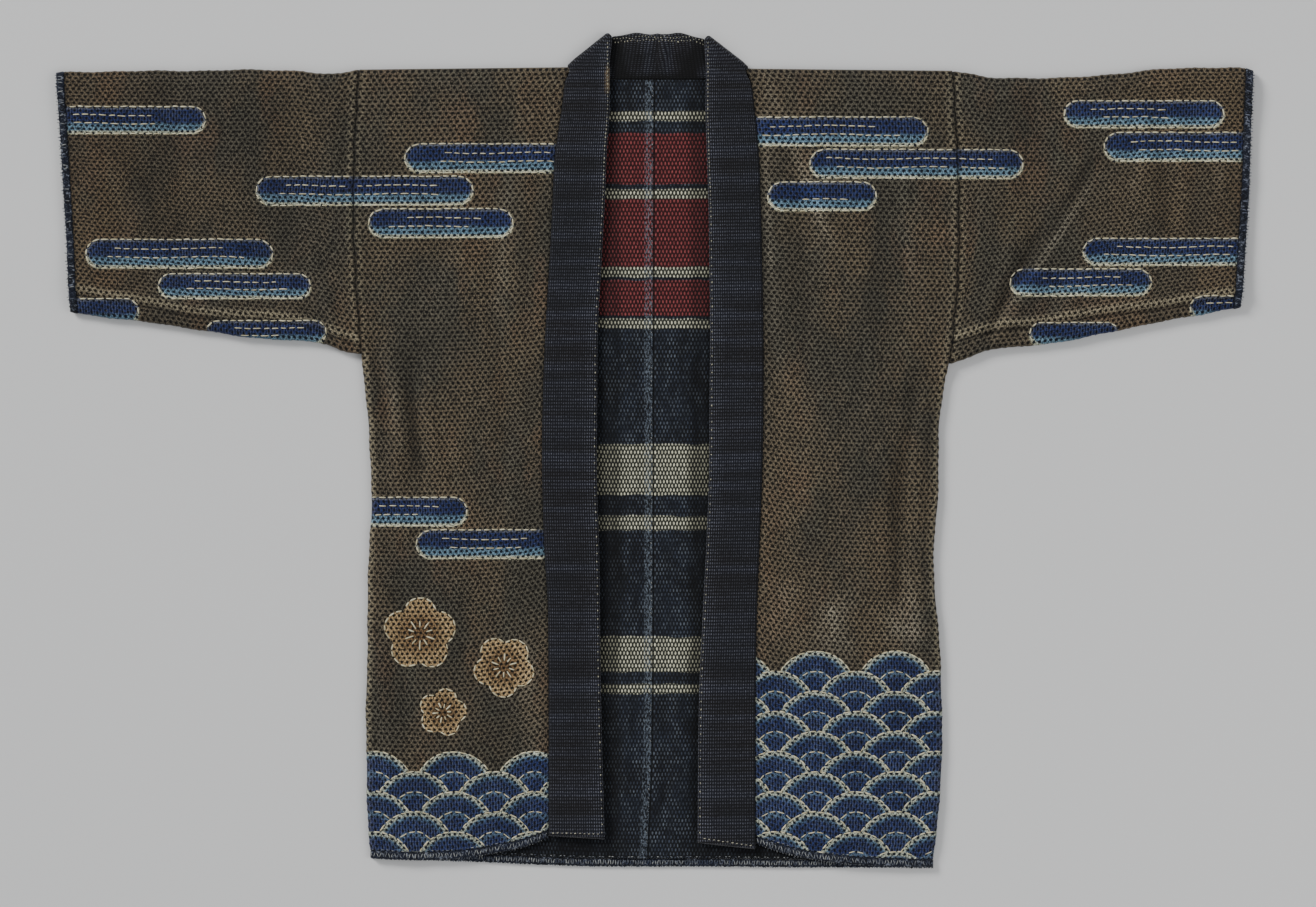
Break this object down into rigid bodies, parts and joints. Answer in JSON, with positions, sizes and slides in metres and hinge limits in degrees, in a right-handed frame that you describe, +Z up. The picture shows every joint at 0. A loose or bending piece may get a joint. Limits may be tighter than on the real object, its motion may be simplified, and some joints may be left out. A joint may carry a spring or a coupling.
{
  "type": "firefighter coat",
  "caption": "Quilted cotton firefighter's coat with straight sleeves and a long folded collar band, open in front, laid flat on its back.",
  "frame": {"origin": "centre of the coat's outline on the surface it lies on", "axes": "+X towards the wearer's left sleeve, +Y from the hem to the collar, +Z up off the surface, through the front"},
  "size_m": [1.2549, 0.8764, 0.0132],
  "materials": {
    "quilted_cloth": "grey brown quilted cotton with dark stitch dots and blue dyed pattern",
    "lining_cloth": "dark indigo cotton with running stitch and red and cream stripes",
    "band_cloth": "dark navy cotton with fine running stitch",
    "binding_cloth": "worn blue cotton binding"
  },
  "bodies": {
    "root": {"front_right": "quilted_cloth", "front_left": "quilted_cloth", "back_right": "quilted_cloth", "back_left": "quilted_cloth", "sleeve_right": "quilted_cloth", "sleeve_left": "quilted_cloth", "lining_right": "lining_cloth", "lining_left": "lining_cloth", "collar_band": "band_cloth", "cuff_binding_right": "binding_cloth", "cuff_binding_left": "binding_cloth", "hem_binding_front_right": "binding_cloth", "hem_binding_front_left": "binding_cloth", "hem_binding_back": "binding_cloth"}
  },
  "joints": []
}
